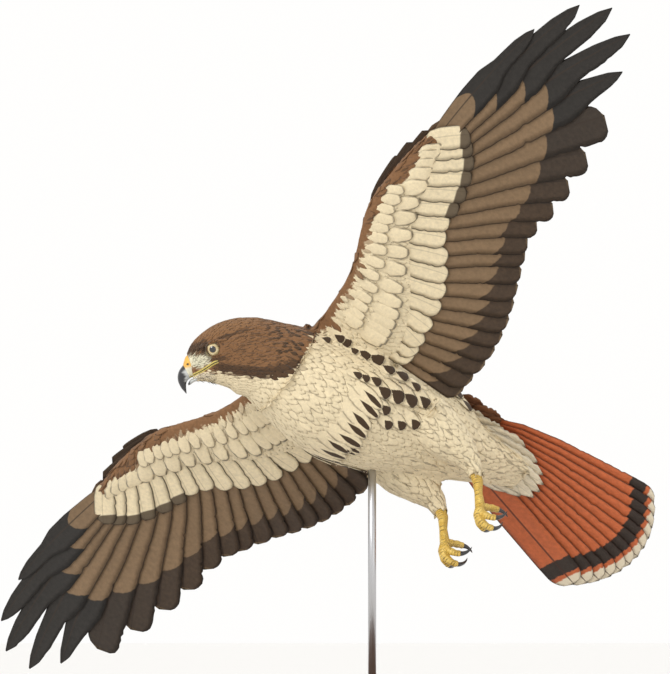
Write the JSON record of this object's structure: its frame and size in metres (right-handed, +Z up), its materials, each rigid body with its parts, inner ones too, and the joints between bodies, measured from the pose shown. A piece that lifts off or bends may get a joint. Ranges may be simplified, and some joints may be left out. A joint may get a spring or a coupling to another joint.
{
  "type": "red-tailed hawk display model",
  "caption": "Life-size red-tailed hawk in banking flight, a still museum model held on a flat base by one rod.",
  "frame": {"origin": "centre of the display base's underside, on the floor", "axes": "+Z up; the bird flies towards -X, and the side that is banked towards the viewer faces -Y"},
  "size_m": [0.7189, 0.7812, 0.7788],
  "materials": {
    "head_feathers": "soft matt feathers",
    "body_feathers": "soft matt feathers",
    "wing_feathers": "smooth matt flight feathers",
    "tail_feathers": "smooth matt flight feathers",
    "leg_skin": "scaled skin",
    "cere_skin": "waxy skin",
    "horn": "polished horn",
    "eye": "glossy eye with a pale iris",
    "stand_wood": "satin dark wood",
    "stand_metal": "satin steel"
  },
  "bodies": {
    "root": {"stand_base": "stand_wood", "stand_rod": "stand_metal", "torso": "body_feathers", "neck": "head_feathers", "head": "head_feathers", "eye_left": "eye", "eye_right": "eye", "cere": "cere_skin", "beak_upper": "horn", "beak_lower": "horn", "wing_left": "wing_feathers", "wing_right": "wing_feathers", "tail": "tail_feathers", "thigh_left": "body_feathers", "thigh_right": "body_feathers", "foot_left": "leg_skin", "foot_right": "leg_skin", "claw_left_1": "horn", "claw_left_2": "horn", "claw_left_3": "horn", "claw_left_4": "horn", "claw_right_1": "horn", "claw_right_2": "horn", "claw_right_3": "horn", "claw_right_4": "horn"}
  },
  "joints": []
}
